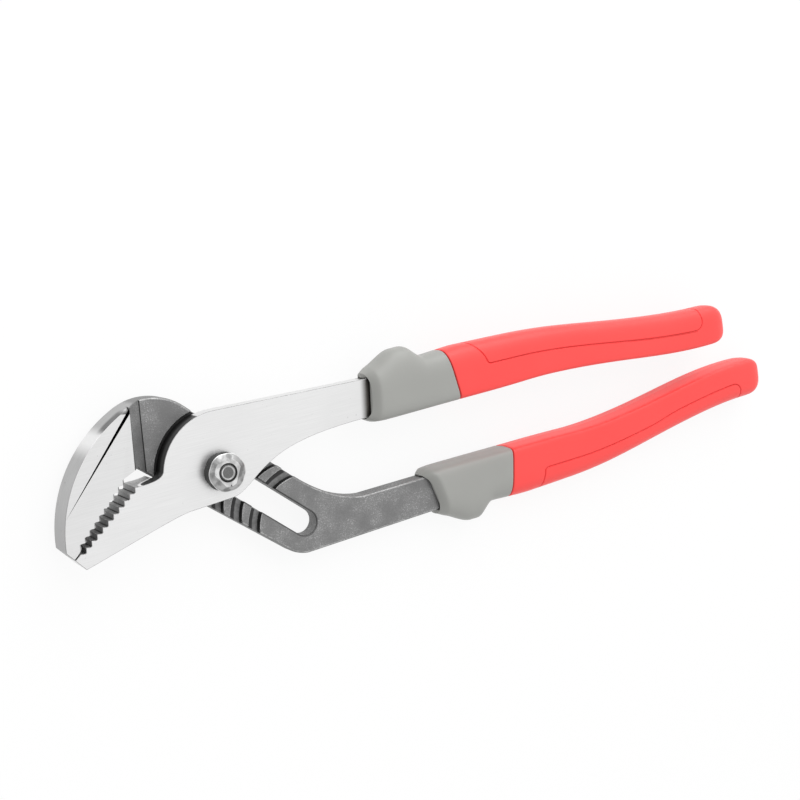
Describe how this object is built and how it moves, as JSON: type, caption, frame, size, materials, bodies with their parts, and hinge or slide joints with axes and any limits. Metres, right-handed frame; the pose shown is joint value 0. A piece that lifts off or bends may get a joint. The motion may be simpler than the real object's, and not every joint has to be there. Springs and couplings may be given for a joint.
{
  "type": "water pump pliers",
  "caption": "Groove-joint water pump pliers: a tongued front lever turns on a nutted bolt in a slotted, grooved rear lever, with angled toothed jaws and soft grips with thumb stops.",
  "frame": {"origin": "pivot axis at the back face of the bolt head, on the surface that the pliers lie on", "axes": "+X from the pivot towards the grips, +Y towards the upper handle, +Z along the pivot from the bolt head to the nut"},
  "size_m": [0.3237, 0.0774, 0.022],
  "materials": {
    "polished_steel": "finely ground and polished",
    "forged_steel": "dark forged skin with ground jaw faces",
    "bolt_steel": "plated",
    "grip_grey": "satin",
    "grip_red": "satin"
  },
  "bodies": {
    "rear_half": {"rear_lever": "forged_steel", "pivot_bolt": "bolt_steel", "pivot_nut": "bolt_steel", "lower_collar": "grip_grey", "lower_sleeve": "grip_red", "lower_palm_pad": "grip_red"},
    "front_half": {"front_lever": "polished_steel", "upper_collar": "grip_grey", "upper_sleeve": "grip_red", "upper_palm_pad": "grip_red"}
  },
  "joints": [
    {"name": "jaw_pivot", "type": "hinge", "parent": "rear_half", "child": "front_half", "pos_m": [0, 0, 0.0138], "axis": [0, 0, 1], "range_deg": [0, 65]}
  ]
}
